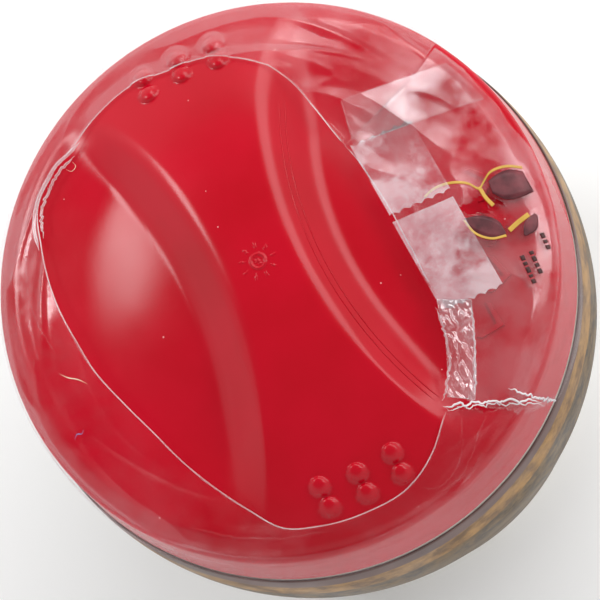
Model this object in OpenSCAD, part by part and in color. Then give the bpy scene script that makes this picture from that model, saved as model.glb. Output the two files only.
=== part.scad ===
// Lidded food cup with a spoon under its push-fit lid.
// Millimetres, +Z up. The origin is the centre of the foot, on the surface that the cup stands on.
// The lid's grip ridge runs along Y, and its two scooped recesses lie at +X and -X.

/* [Tub] */
// Radius of the bare tub at its widest
tub_r = 58; // [57.5:0.1:60]
// Height of the widest ring above the foot
bulge_z = 72; // [66:1:76]
// Radius of the side wall's gentle bulge, seen from the side
bulge_r = 118; // [100:1:140]
// Taper of the lower wall, degrees from upright
taper = 10; // [6:0.5:12]
// Wall thickness of the tub
tub_wall = 1.1; // [0.9:0.1:1.5]
// Radius of the neck that carries the lid
neck_r = 53.2; // [52.6:0.1:53.4]
// Height of the rim above the foot
rim_z = 102; // [101:0.1:102]

/* [Lid] */
// Height of the lid's lower edge above the foot
lid_z = 88; // [87.9:0.1:88.5]
// Outer radius of the skirt at its lower edge
lid_r = 57; // [56.8:0.1:58]
// Outer radius of the skirt where the shoulder begins
lid_top_r = 55.8; // [55.6:0.1:56.2]
// Wall thickness of the lid
lid_wall = 1.2; // [1:0.1:1.4]
// Height of the dome's crown above the lid's lower edge
dome_rise = 33.5; // [31:0.5:36]
// Spherical radius of the dome
dome_r = 106; // [98:1:116]
// Radius of the rounded shoulder
shoulder_r = 5; // [4:0.5:6]

/* [Ridge and recesses] */
// Half-width of the ridge's top at its middle
ridge_half = 7.6; // [6:0.2:9]
// How far a flank of the ridge spreads for each millimetre that it goes down
flank_k = 1; // [0.8:0.05:1.2]
// Depth of the recesses below the dome, beside the ridge
recess_depth = 5.6; // [5:0.1:6]
// Radius up to which a recess floor runs parallel to the dome
floor_turn_r = 33; // [31:1:34]
// Radius at which a recess floor runs out into the dome
floor_end_r = 51.5; // [51:0.1:51.6]

/* [Grip bumps and moulded marks] */
// Radius of one grip bump's sphere
bump_r = 2.4; // [2:0.1:2.8]
// How far a bump stands proud of the dome
bump_proud = 1.2; // [0.8:0.1:1.6]
// Distance of the inner row of bumps from the lid's centre
bump_row_r = 43.4; // [42:0.1:44]
// Distance between the two rows
bump_row_gap = 4; // [3.5:0.1:4.2]
// Spacing of the bumps along a row
bump_pitch = 7.6; // [6.5:0.1:8]
// Radius of the ring left by the moulding gate
gate_r = 1.4; // [1:0.1:2]
// Height of the raised chevrons that show where to press
mark_proud = 0.4; // [0.2:0.1:0.6]
// Distance of the chevrons from the lid's centre
mark_row_r = 45; // [44:0.5:46]

/* [Foil and spoon] */
// Thickness of the peel-off foil, sealing coat included
foil_t = 0.3; // [0.2:0.05:0.3]
// Length of the spoon
spoon_len = 92; // [80:1:96]
// Width of the spoon's bowl
bowl_w = 27; // [22:1:28]
// Depth of the spoon's bowl
bowl_deep = 6; // [4:0.5:6.5]
// Wall thickness of the spoon
spoon_t = 1.2; // [1:0.1:1.5]

/* [Films and tapes] */
// Thickness of the shrunk film, its coat of ink included
film_t = 0.4; // [0.3:0.05:0.5]
// Gap between the clear film and the lid
film_gap = 0.3; // [0.2:0.05:0.4]
// Radius of the opening that the clear film leaves over the lid
film_open_r = 50; // [49.8:0.1:51]
// Width of the adhesive tape
tape_w = 12.7; // [12:0.1:14]
// Thickness of a tape, its glue included
tape_t = 0.2; // [0.1:0.05:0.3]

/* [Hidden] */

$fn = 96;
eps = 0.05;                  // overlap that makes a union of touching shapes sound
beyond = 10;                 // how far cutting shapes reach past what they cut
arc_steps = 8;               // straight steps that stand in for the wall's bulge

// Tub
foot_ring_w = 3;             // width of the ring that the tub stands on
foot_recess = 2;             // height of the base panel above the surface
foot_chamfer = [0.8, 2];     // width and height of the bevel between the foot ring and the wall
base_t = 1.2;                // thickness of the base panel
ledge_gap = 0.6;             // gap between the lid's edge and the ledge below it
ledge_z = lid_z - ledge_gap;
rim_bead = 0.7;              // how far the rim's bead stands out from the neck
rim_bead_h = 2.6;            // height of that bead
rim_bead_slope = [0.6, 0.4]; // height of the bead's slope below, and of its bevel above
neck_slope = 1.5;            // height of the slope inside, between the wall and the neck
bulge_cx = tub_r - bulge_r;  // centre of the side wall's bulge, seen from the side
sleeve_foot_z = 3.6;         // lower edge of the printed sleeve
sleeve_top_z = ledge_z - 0.4;

// Lid
dome_cz = dome_rise - dome_r;
shoulder_x = lid_top_r - shoulder_r;
shoulder_z = dome_cz + sqrt(pow(dome_r - shoulder_r, 2) - pow(shoulder_x, 2));
floor_turn_z = dome_cz + sqrt(pow(dome_r - recess_depth, 2) - pow(floor_turn_r, 2));
floor_slope = (floor_turn_z - dome_cz - sqrt(pow(dome_r, 2) - pow(floor_end_r, 2)))
    / (floor_end_r - floor_turn_r);
stop_rib_r = [52.2, 53.3];   // inner and outer radius of the rib that rests over the rim
rib_gap = 0.15;              // gap between that rib and the foil
rib_z = rim_z + foil_t + rib_gap - lid_z;
rib_top_z = shoulder_z + shoulder_r - lid_wall;
snap_r = 54.55;              // inner radius of the snap bead, just clear of the rim's bead
snap_z = 4;                  // height of the snap bead's underside above the lid's edge
snap_h = 1.2;                // height of the snap bead itself
gate_h = 0.3;                // height of the gate mark above the crown
gate_root = 0.2;             // how deep the gate mark is rooted in the crown
gate_line = 0.4;             // width of the gate ring's line
chevron_w = 7;               // width of a chevron across the row
chevron_line = 1;            // width of a chevron's line
chevron_tip = 1.4;           // thickness of a chevron at its tip, as a share of its line's width
chevron_angles = [-38, -26, -14, -2];

// Foil and spoon
foil_z = rim_z + 0.05;       // the heat seal lies between the rim and the foil
foil_inset = 0.3;            // how far the foil's edge stays inside the rim's bead
foil_r = neck_r + rim_bead - foil_inset;
tab_w = 18;                  // width of the foil's pull tab, folded back over the foil
tab_x = [38, 51];            // where the folded tab ends and where its fold lies
spoon_z = foil_z + foil_t + 0.4;
bowl_len = 36;               // length of the spoon's bowl
bowl_y = -(spoon_len - bowl_len) / 2;
handle_w = [8, 12];          // width of the handle at the bowl and at its end
handle_t = 1.8;              // thickness of the handle
handle_lap = 3;              // how far the handle reaches into the bowl
handle_rib = [1.4, 2.2];     // width and height of the rib under the handle
rib_ends = [4, 8];           // how far that rib stays from the handle's two ends

// Films and tapes
flap_lift = mark_proud + 0.1; // height of the torn flap over the +X recess floor, clear of the chevrons
flap_gap = 0.6;              // gap between the flap and the clear film
flap_r = film_open_r - flap_gap;
stack_gap = 0.05;            // gap between one film or tape and the next
tape_lift = flap_lift + film_t + stack_gap;

// A row of points along the tub's side wall, grown by d, from height z0 to height z1
function wall_points(d, z0, z1) =
    let (
        r = bulge_r + d,
        low_x = bulge_cx + r * cos(taper),
        low_z = bulge_z - r * sin(taper),
        top_a = asin((z1 - bulge_z) / r)
    )
    concat(
        [[low_x - (low_z - z0) * tan(taper), z0]],
        [for (i = [0:arc_steps])
            let (a = -taper + (top_a + taper) * i / arc_steps)
            [bulge_cx + r * cos(a), bulge_z + r * sin(a)]]
    );

function reversed(points) = [for (i = [len(points) - 1:-1:0]) points[i]];

// Height of the dome above the lid's edge, at a distance r from the lid's centre
function dome_height(r) = dome_cz + sqrt(dome_r * dome_r - r * r);

// Half of the lid's section without its recesses, shrunk by d, down to height z0
module lid_section(d, z0) {
    far = dome_r + beyond;
    away = [shoulder_x, shoulder_z - dome_cz] / (dome_r - shoulder_r);
    intersection() {
        translate([0, dome_cz]) circle(r = dome_r - d);
        polygon([
            [0, z0], [shoulder_x, z0], [shoulder_x, shoulder_z],
            [far * away[0], dome_cz + far * away[1]], [0, dome_rise + beyond]
        ]);
    }
    translate([shoulder_x, shoulder_z]) circle(r = shoulder_r - d);
    polygon([
        [0, z0], [lid_r - d, z0], [lid_r - d, 0],
        [lid_top_r - d, shoulder_z], [0, shoulder_z]
    ]);
}

// The lid's outer body without recesses, shrunk by d
module lid_body(d, z0 = 0) {
    rotate_extrude() lid_section(d, z0);
}

// Everything under the recess floors, shrunk by d
module floor_body(d, z0 = 0) {
    turn_z = floor_turn_z - d * sqrt(1 + floor_slope * floor_slope);
    rotate_extrude() {
        intersection() {
            translate([0, dome_cz]) circle(r = dome_r - recess_depth - d);
            translate([0, z0]) square(dome_r);
        }
        polygon([
            [0, z0], [lid_r, z0], [lid_r, turn_z - (lid_r - floor_turn_r) * floor_slope],
            [0, turn_z + floor_turn_r * floor_slope]
        ]);
    }
}

// The ridge as a wedge along Y, shrunk by d
module ridge_wedge(d, z0 = 0) {
    top = dome_rise + beyond;
    foot = ridge_half + flank_k * (dome_rise - z0) - d * sqrt(1 + flank_k * flank_k);
    rotate([90, 0, 0]) linear_extrude(2 * lid_r, center = true) polygon([
        [-foot, z0], [foot, z0], [foot - flank_k * (top - z0), top], [flank_k * (top - z0) - foot, top]
    ]);
}

// The lid with its ridge and recesses, shrunk by d
module lid_form(d, z0 = 0) {
    intersection() {
        lid_body(d, z0);
        union() {
            ridge_wedge(d, z0);
            floor_body(d, z0);
        }
    }
}

// A thin layer over the recess floors, from a height d above them to d + t
module layer(d, t) {
    translate([0, 0, lid_z]) difference() {
        floor_body(-d - t, shoulder_z);
        floor_body(-d, -beyond);
    }
}

// Both ends' grip bumps: two rows of three at each end of the ridge
module grip_bumps() {
    for (end = [-1, 1], row = [0, 1], i = [-1:1]) {
        r = bump_row_r + row * bump_row_gap;
        x = i * bump_pitch;
        y = end * sqrt(r * r - x * x);
        translate([x, y, dome_height(r) + bump_proud - bump_r]) sphere(r = bump_r, $fn = 32);
    }
}

// The ring and pip that the moulding gate leaves on the crown
module gate_mark() {
    translate([0, 0, dome_rise - gate_root]) {
        difference() {
            cylinder(r = gate_r, h = gate_h + gate_root);
            translate([0, 0, -eps]) cylinder(r = gate_r - gate_line, h = gate_h + gate_root + 2 * eps);
        }
        cylinder(r = gate_line, h = gate_h + gate_root);
    }
}

// The outline of one chevron that points outwards
module chevron() {
    half = chevron_w / 2;
    polygon([
        [-half / 2, -half], [half / 2, 0], [-half / 2, half], [-half / 2 - chevron_line, half],
        [half / 2 - chevron_line * chevron_tip, 0], [-half / 2 - chevron_line, -half]
    ]);
}

// A ring of rectangular section
module ring(r_in, r_out, h) {
    difference() {
        cylinder(r = r_out, h = h);
        translate([0, 0, -beyond]) cylinder(r = r_in, h = h + 2 * beyond);
    }
}

module tub() {
    side = wall_points(0, foot_chamfer[1], ledge_z);
    hollow = wall_points(-tub_wall, foot_recess + base_t, ledge_z - tub_wall);
    foot_r = side[0][0] - foot_chamfer[0];
    bore = neck_r - tub_wall;
    color("lightyellow") rotate_extrude() polygon(concat(
        [[0, foot_recess], [foot_r - foot_ring_w, foot_recess], [foot_r - foot_ring_w, 0], [foot_r, 0]],
        side,
        [
            [neck_r, ledge_z], [neck_r, rim_z - rim_bead_h],
            [neck_r + rim_bead, rim_z - rim_bead_h + rim_bead_slope[0]],
            [neck_r + rim_bead, rim_z - rim_bead_slope[1]],
            [neck_r + rim_bead - rim_bead_slope[1], rim_z], [bore, rim_z],
            [bore, ledge_z - tub_wall - neck_slope]
        ],
        reversed(hollow),
        [[0, foot_recess + base_t]]
    ));
}

module body_sleeve() {
    color("tan") rotate_extrude() polygon(concat(
        wall_points(film_t, sleeve_foot_z, sleeve_top_z),
        reversed(wall_points(0, sleeve_foot_z, sleeve_top_z))
    ));
}

module foil_seal() {
    color("silver") {
        translate([0, 0, foil_z]) cylinder(r = foil_r, h = foil_t);
        translate([0, 0, foil_z + foil_t - eps]) linear_extrude(foil_t + eps) intersection() {
            translate([tab_x[0], -tab_w / 2]) square([tab_x[1] - tab_x[0], tab_w]);
            translate([tab_x[0] + tab_w / 2, 0]) union() {
                circle(d = tab_w);
                translate([0, -tab_w / 2]) square(tab_w);
            }
        }
    }
}

// Half an egg-shaped bowl, open upwards, with its rim at height 0
module bowl_form(w, l, deep) {
    intersection() {
        scale([w / 2, l / 2, deep]) sphere(r = 1, $fn = 48);
        translate([-w, -l, -deep - beyond]) cube([2 * w, 2 * l, deep + beyond]);
    }
}

module spoon() {
    rim = spoon_z + bowl_deep;
    y0 = bowl_y + bowl_len / 2 - handle_lap;
    y1 = spoon_len / 2;
    color("white") {
        translate([0, bowl_y, rim]) difference() {
            bowl_form(bowl_w, bowl_len, bowl_deep);
            translate([0, 0, eps / 5])
                bowl_form(bowl_w - 2 * spoon_t, bowl_len - 2 * spoon_t, bowl_deep - spoon_t);
        }
        translate([0, 0, rim - handle_t]) linear_extrude(handle_t) {
            polygon([
                [-handle_w[0] / 2, y0], [handle_w[0] / 2, y0],
                [handle_w[1] / 2, y1 - handle_w[1] / 2], [-handle_w[1] / 2, y1 - handle_w[1] / 2]
            ]);
            translate([0, y1 - handle_w[1] / 2]) circle(d = handle_w[1]);
        }
        translate([-handle_rib[0] / 2, y0 + rib_ends[0], rim - handle_t - handle_rib[1]])
            cube([handle_rib[0], y1 - y0 - rib_ends[0] - rib_ends[1], handle_rib[1] + eps]);
    }
}

module lid_shell() {
    color("crimson") {
        translate([0, 0, lid_z]) {
            difference() {
                union() {
                    lid_form(0);
                    grip_bumps();
                }
                lid_form(lid_wall, -1);
            }
            gate_mark();
            translate([0, 0, snap_z]) ring(snap_r, lid_top_r, snap_h);
            translate([0, 0, rib_z]) ring(stop_rib_r[0], stop_rib_r[1], rib_top_z - rib_z);
        }
        intersection() {
            layer(-mark_proud, 2 * mark_proud);
            linear_extrude(lid_z + dome_rise)
                for (a = chevron_angles) rotate([0, 0, a]) translate([mark_row_r, 0]) chevron();
        }
    }
}

module lid_film() {
    color("lightgrey", 0.5) translate([0, 0, lid_z]) difference() {
        lid_body(-film_gap - film_t);
        lid_body(-film_gap, -1);
        cylinder(r = film_open_r, h = dome_rise + beyond);
    }
}

module film_flap() {
    color("rosybrown", 0.7) intersection() {
        layer(flap_lift, film_t);
        linear_extrude(lid_z + dome_rise) intersection() {
            circle(r = flap_r);
            polygon([[23, 20], [26, 7], [26.5, -9], [27.5, -19], [36, -24], [60, -30], [60, 34], [30, 24]]);
        }
    }
}

module loose_film_strip() {
    color("mistyrose", 0.8) intersection() {
        layer(flap_lift, film_t);
        linear_extrude(lid_z + dome_rise) polygon([
            [27, -20], [33.5, -24], [32, -31], [30, -36], [26.5, -36], [25.5, -29]
        ]);
    }
}

// A straight piece of tape with its lower left corner at p, running l along the direction a
module tape(p, a, l, level) {
    intersection() {
        layer(tape_lift + level * (tape_t + stack_gap), tape_t);
        linear_extrude(lid_z + dome_rise) intersection() {
            circle(r = flap_r);
            translate(p) rotate([0, 0, a]) square([l, tape_w]);
        }
    }
}

module clear_tape() {
    color("gainsboro", 0.5) tape([24.8, 10], 4, 26, 0);
}

module frosted_tape_upper() {
    color("thistle") tape([24.6, 16], -90, 19, 1);
}

module frosted_tape_lower() {
    color("thistle") tape([25.6, -3.4], -92, 19.5, 0);
}

tub();
body_sleeve();
foil_seal();
spoon();
lid_shell();
lid_film();
film_flap();
loose_film_strip();
clear_tape();
frosted_tape_upper();
frosted_tape_lower();
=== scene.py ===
import math

import bmesh
import bpy
import numpy as np
from mathutils import Matrix, Vector, noise


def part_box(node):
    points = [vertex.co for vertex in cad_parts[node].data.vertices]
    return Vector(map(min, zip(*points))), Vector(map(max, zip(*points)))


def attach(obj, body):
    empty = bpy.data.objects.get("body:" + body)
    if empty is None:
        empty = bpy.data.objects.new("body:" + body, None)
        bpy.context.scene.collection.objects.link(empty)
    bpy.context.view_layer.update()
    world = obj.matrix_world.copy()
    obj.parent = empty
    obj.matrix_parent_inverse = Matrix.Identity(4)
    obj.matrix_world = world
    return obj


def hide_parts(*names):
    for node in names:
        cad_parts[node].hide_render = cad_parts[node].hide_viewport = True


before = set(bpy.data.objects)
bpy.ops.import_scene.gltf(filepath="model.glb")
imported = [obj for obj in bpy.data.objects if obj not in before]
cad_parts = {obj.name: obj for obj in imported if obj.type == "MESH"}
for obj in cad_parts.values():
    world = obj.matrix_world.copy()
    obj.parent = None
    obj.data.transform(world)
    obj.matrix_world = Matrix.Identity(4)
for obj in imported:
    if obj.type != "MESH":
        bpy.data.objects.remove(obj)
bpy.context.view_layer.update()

# ---------------------------------------------------------------- sizes
# Lengths below are in millimetres. Heights of the lid's surfaces are above the lid's lower edge.
MM = 0.001


def box_mm(node):
    low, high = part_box(node)
    return [c / MM for c in low], [c / MM for c in high]


LID_Z = box_mm("lid_shell")[0][2]
LID_R = box_mm("lid_shell")[1][0]
LID_TOP_R = LID_R - 1.2
WALL = 1.2
DOME_RISE = 33.5
DOME_R = 106.0
DOME_CZ = DOME_RISE - DOME_R
SHOULDER_R = 5.0
SHOULDER_X = LID_TOP_R - SHOULDER_R
SHOULDER_Z = DOME_CZ + math.sqrt((DOME_R - SHOULDER_R) ** 2 - SHOULDER_X ** 2)
SHOULDER_END = math.atan2(SHOULDER_Z - DOME_CZ, SHOULDER_X)
SHOULDER_ARC = SHOULDER_R * SHOULDER_END
TOP_R = SHOULDER_X + SHOULDER_R * math.cos(SHOULDER_END)

RECESS_DEPTH = 5.6
FLOOR_TURN_R = 33.0
FLOOR_END_R = 51.5
FLOOR_TURN_Z = DOME_CZ + math.sqrt((DOME_R - RECESS_DEPTH) ** 2 - FLOOR_TURN_R ** 2)
FLOOR_END_Z = DOME_CZ + math.sqrt(DOME_R ** 2 - FLOOR_END_R ** 2)
RECESS_FADE = (52.8, 51.0)     # between these radii the recess dies out
FLANK_CX = 92.0               # seen from above, both edges of a flank are arcs about this place on X
FLANK_EDGE = 84.4             # radius of the flank's upper edge there
FLANK_FOOT = 76.8             # radius of its foot

BUMP_ROWS = (43.4, 47.4)
BUMP_PITCH = 7.6
BUMP_FOOT = 1.95
BUMP_PROUD = 1.15
GATE_R = 1.4
SIDE_R = 53.0                 # outside this radius, and below SIDE_Z, faces get the side's duller material
SIDE_Z = LID_Z + SHOULDER_Z + 3.4
FILM_T = 0.08
TAPE_T = 0.07
INK_T = 0.06
STRIP_T = 0.07
TOOTH_DEPTH = 0.55            # depth of the teeth that a tape dispenser leaves
FILM_GAP = 0.4                # least gap between the lid and its film
TAPE_END_R = 53.2             # no tape reaches past this radius
FILM_SAG = 0.4                # how far the taut film dips into the recesses, as a share of their depth


# ---------------------------------------------------------------- mesh helpers
def smooth_min(a, b, k):
    t = np.clip(0.5 + 0.5 * (b - a) / k, 0.0, 1.0)
    return b + (a - b) * t - k * t * (1.0 - t)


def smooth_max(a, b, k):
    return -smooth_min(-a, -b, k)


def smoothstep(low, high, x):
    t = np.clip((x - low) / (high - low), 0.0, 1.0)
    return t * t * (3.0 - 2.0 * t)


def curve_through(points, x, period=None):
    """A smooth curve through (x, y) points, read at x; with a period it closes on itself."""
    xs, ys = [list(v) for v in zip(*sorted(points))]
    if period:
        x = (x - xs[0]) % period + xs[0]
        xs = [xs[-2] - period, xs[-1] - period] + xs + [xs[0] + period, xs[1] + period]
        ys = [ys[-2], ys[-1]] + ys + [ys[0], ys[1]]
    xs, ys = np.array(xs), np.array(ys)
    slopes = np.gradient(ys, xs)
    i = np.clip(np.searchsorted(xs, x, side="right") - 1, 0, len(xs) - 2)
    h = xs[i + 1] - xs[i]
    t = np.clip((x - xs[i]) / h, 0.0, 1.0)
    a = (1 + 2 * t) * (1 - t) ** 2
    b = t * (1 - t) ** 2
    c = t * t * (3 - 2 * t)
    d = t * t * (t - 1)
    return a * ys[i] + b * h * slopes[i] + c * ys[i + 1] + d * h * slopes[i + 1]


def lumps(x, y, x_scale, y_scale, seed):
    """Smooth noise, from -1 to 1, at plan places."""
    flat = [noise.noise(Vector((a * x_scale, b * y_scale, seed))) for a, b in zip(x.ravel(), y.ravel())]
    return np.array(flat).reshape(x.shape)


def wobble(values, scale, second, third):
    """Smooth noise, from -1 to 1, along a row of values."""
    return np.array([noise.noise(Vector((value * scale, second, third))) for value in values])


def grid_faces(rows, columns, wrap=False, start=0):
    """Quads of a grid whose points run along the columns first."""
    last = columns if wrap else columns - 1
    faces = []
    for i in range(rows - 1):
        for j in range(last):
            k = (j + 1) % columns
            a = start + i * columns
            faces.append((a + j, a + k, a + columns + k, a + columns + j))
    return faces


def make_piece(name, points, faces, body, slot, material, replaces=(), smooth=True, side=None):
    """Makes a mesh piece from points in millimetres and says what it rides on and stands for."""
    mesh = bpy.data.meshes.new(name)
    mesh.from_pydata((np.asarray(points, float) * MM).tolist(), [], faces)
    mesh.update()
    build = bmesh.new()
    build.from_mesh(mesh)
    bmesh.ops.recalc_face_normals(build, faces=build.faces)
    build.to_mesh(mesh)
    build.free()
    mesh.polygons.foreach_set("use_smooth", [smooth] * len(mesh.polygons))
    piece = bpy.data.objects.new(name, mesh)
    bpy.context.scene.collection.objects.link(piece)
    mesh.materials.append(material)
    if side:
        mesh.materials.append(side)
        for polygon in mesh.polygons:
            x, y, z = polygon.center / MM
            if math.hypot(x, y) > SIDE_R and z < SIDE_Z:
                polygon.material_index = 1
    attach(piece, body)
    if replaces:
        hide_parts(*replaces)
    return piece


def revolve(profile, steps=240):
    """Points and faces of a closed outline of (r, z) points turned about Z."""
    profile = np.asarray(profile, float)
    angles = np.linspace(0, 2 * math.pi, steps, endpoint=False)
    points = np.stack([
        np.outer(profile[:, 0], np.cos(angles)),
        np.outer(profile[:, 0], np.sin(angles)),
        np.repeat(profile[:, 1:2], steps, axis=1),
    ], axis=-1).reshape(-1, 3)
    n = len(profile)
    faces = []
    for i in range(n):
        k = (i + 1) % n
        for j in range(steps):
            m = (j + 1) % steps
            faces.append((i * steps + j, i * steps + m, k * steps + m, k * steps + j))
    return points, faces


def arc(cx, cz, r, start, end, steps):
    """Points of an arc in the (r, z) plane, with angles in degrees."""
    angles = np.radians(np.linspace(start, end, steps))
    return [(cx + r * math.cos(a), cz + r * math.sin(a)) for a in angles]


def thin_sheet(points, rows, columns, thickness, wrap=False, keep=None):
    """Turns a grid of points into a closed sheet; keep says which quads stay."""
    grid = points.reshape(rows, columns, 3)
    du = np.gradient(grid, axis=1)
    if wrap:
        du = np.roll(grid, -1, axis=1) - np.roll(grid, 1, axis=1)
    dv = np.gradient(grid, axis=0)
    normal = np.cross(du, dv)
    normal /= np.maximum(np.linalg.norm(normal, axis=2, keepdims=True), 1e-9)
    if normal[..., 2].mean() < 0:
        normal = -normal
    top = (grid + normal * thickness / 2).reshape(-1, 3)
    under = (grid - normal * thickness / 2).reshape(-1, 3)
    quads = grid_faces(rows, columns, wrap)
    if keep is not None:
        quads = [q for q, k in zip(quads, keep) if k]
    count = rows * columns
    edges = {}
    for q in quads:
        for a, b in zip(q, q[1:] + q[:1]):
            if (b, a) in edges:
                del edges[(b, a)]
            else:
                edges[(a, b)] = True
    faces = list(quads)
    faces += [tuple(count + i for i in reversed(q)) for q in quads]
    faces += [(b, a, count + a, count + b) for a, b in edges]
    every = np.concatenate([top, under])
    used = sorted({i for f in faces for i in f})
    new_index = {old: new for new, old in enumerate(used)}
    return every[used], [tuple(new_index[i] for i in f) for f in faces]


# ---------------------------------------------------------------- the lid's surface
def dome_height(r, grow=0.0):
    return DOME_CZ + np.sqrt(np.maximum((DOME_R + grow) ** 2 - r * r, 0.0))


def bump_places():
    for end in (-1, 1):
        for row in BUMP_ROWS:
            for i in (-1, 0, 1):
                x = i * BUMP_PITCH
                yield x, end * math.sqrt(row * row - x * x)


def bump_height(x, y, foot=BUMP_FOOT, proud=BUMP_PROUD):
    """Round grip bumps as height above the dome."""
    rise = np.zeros_like(x)
    for bx, by in bump_places():
        d = np.hypot(x - bx, y - by) / foot
        rise = np.maximum(rise, proud * np.sqrt(np.clip(1.0 - d * d, 0.0, 1.0)) * smoothstep(1.0, 0.8, d))
    return rise


def recess_depth(r):
    """Depth of a recess floor below the dome."""
    parallel = dome_height(r, -RECESS_DEPTH)
    slope = (FLOOR_TURN_Z - FLOOR_END_Z) / (FLOOR_END_R - FLOOR_TURN_R)
    outer = FLOOR_TURN_Z - slope * (r - FLOOR_TURN_R)
    return smooth_max(dome_height(r) - smooth_max(parallel, outer, 1.2), np.zeros_like(r), 0.5)


def recess_share(x, y):
    """0 on the ridge, 1 on a recess floor, and between them on a flank."""
    s = np.hypot(FLANK_CX - np.abs(x), y)
    t = (FLANK_EDGE - s) / (FLANK_EDGE - FLANK_FOOT)
    soft = 0.26 - 0.18 * smoothstep(12.0, 30.0, -y)
    return smooth_min(smooth_max(t, np.zeros_like(t), soft), np.ones_like(t), 0.24)


def lid_top(x, y):
    """Height of the lid's top, without its bumps, out to the shoulder."""
    r = np.hypot(x, y)
    return dome_height(r) - recess_depth(r) * recess_share(x, y) * smoothstep(*RECESS_FADE, r)


def meridian(theta, m, grow=0.0):
    """Points of the lid's outside at angle theta and distance m up from its edge, grown by a little."""
    radial = np.empty_like(m)
    z = np.empty_like(m)
    skirt = m < SHOULDER_Z
    fillet = (m >= SHOULDER_Z) & (m < SHOULDER_Z + SHOULDER_ARC)
    top = m >= SHOULDER_Z + SHOULDER_ARC
    grow = np.broadcast_to(grow, m.shape)
    radial[skirt] = (LID_R + (LID_TOP_R - LID_R) * m / SHOULDER_Z + grow)[skirt]
    z[skirt] = m[skirt]
    a = (m - SHOULDER_Z) / SHOULDER_R
    radial[fillet] = (SHOULDER_X + (SHOULDER_R + grow) * np.cos(a))[fillet]
    z[fillet] = (SHOULDER_Z + (SHOULDER_R + grow) * np.sin(a))[fillet]
    rim = SHOULDER_X + (SHOULDER_R + grow) * math.cos(SHOULDER_END)
    radial[top] = np.maximum(rim - (m - SHOULDER_Z - SHOULDER_ARC), 0.0)[top]
    z[top] = 0.0
    return radial, z, top


M_TOP = SHOULDER_Z + SHOULDER_ARC      # where the top begins, along the meridian


def m_at(r):
    """Distance along the meridian of the place on the top at radius r."""
    return M_TOP + TOP_R - r


def film_point(theta, m, lift):
    """Points of a film that lies on the lid and spans its recesses, lifted by a varying gap."""
    r, z, top = meridian(theta, m, lift)
    x, y = r * np.cos(theta), r * np.sin(theta)
    dip = FILM_SAG * recess_depth(r) * recess_share(x, y)
    height = dome_height(r, lift) - dip * smoothstep(*RECESS_FADE, r)
    height = height + bump_height(x, y, BUMP_FOOT * 1.5, BUMP_PROUD)
    z = np.where(top, height, z)
    return np.stack([x, y, z + LID_Z], axis=-1)


# ---------------------------------------------------------------- materials
def new_material(name):
    material = bpy.data.materials.new(name)
    material.use_nodes = True
    tree = material.node_tree
    return material, tree, tree.nodes["Principled BSDF"]


def add_node(tree, kind, links=(), **settings):
    """Adds a node. Settings set its properties; links give each input a value or the socket that feeds it."""
    made = tree.nodes.new(kind)
    for key, value in settings.items():
        setattr(made, key, value)
    for socket, source in dict(links).items():
        target = made.inputs[socket]
        if isinstance(source, bpy.types.NodeSocket):
            tree.links.new(source, target)
        else:
            target.default_value = source
    return made


def math_node(tree, operation, a, b=0.0, c=0.0):
    return add_node(tree, "ShaderNodeMath", {0: a, 1: b, 2: c}, operation=operation).outputs[0]


def noise_value(tree, scale, detail=3.0, stretch=(1, 1, 1), roughness=0.5):
    """Noise at a scale in waves per metre of the object's own space."""
    place = add_node(tree, "ShaderNodeTexCoord").outputs["Object"]
    mapped = add_node(tree, "ShaderNodeMapping", {0: place, 3: stretch}).outputs[0]
    links = {"Vector": mapped, "Scale": scale, "Detail": detail, "Roughness": roughness}
    return add_node(tree, "ShaderNodeTexNoise", links).outputs["Fac"]


def specks(tree, scale, size):
    """1 inside sparse small dots, 0 elsewhere."""
    place = add_node(tree, "ShaderNodeTexCoord").outputs["Object"]
    cells = add_node(tree, "ShaderNodeTexVoronoi", {"Vector": place, "Scale": scale})
    red = add_node(tree, "ShaderNodeSeparateColor", {0: cells.outputs["Color"]}).outputs[0]
    few = math_node(tree, "GREATER_THAN", red, 0.8)
    dot = math_node(tree, "LESS_THAN", cells.outputs["Distance"], size)
    return math_node(tree, "MULTIPLY", few, dot)


def span_value(tree, value, low, high, new_low, new_high):
    """Maps a value's range to a new range, clamped."""
    links = {0: value, 1: low, 2: high, 3: new_low, 4: new_high}
    return add_node(tree, "ShaderNodeMapRange", links).outputs[0]


def noise_span(tree, noise_args, low, high, new_low, new_high, roughness=0.5):
    """Noise, given its scale and detail, mapped to a new range."""
    return span_value(tree, noise_value(tree, *noise_args, roughness=roughness), low, high, new_low, new_high)


def blend_colours(tree, factor, first, second):
    made = add_node(tree, "ShaderNodeMix", data_type="RGBA")
    for socket, value in ((made.inputs[0], factor), (made.inputs[6], first), (made.inputs[7], second)):
        if isinstance(value, bpy.types.NodeSocket):
            tree.links.new(value, socket)
        elif isinstance(value, (tuple, list)):
            socket.default_value = (*value, 1.0)
        else:
            socket.default_value = value
    return made.outputs[2]


def add_bump(tree, shader, height, distance, strength=1.0, after=None):
    links = {"Height": height, "Distance": distance, "Strength": strength}
    if after is not None:
        links["Normal"] = after
    bump = add_node(tree, "ShaderNodeBump", links).outputs[0]
    tree.links.new(bump, shader.inputs["Normal"])
    return bump


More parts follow.
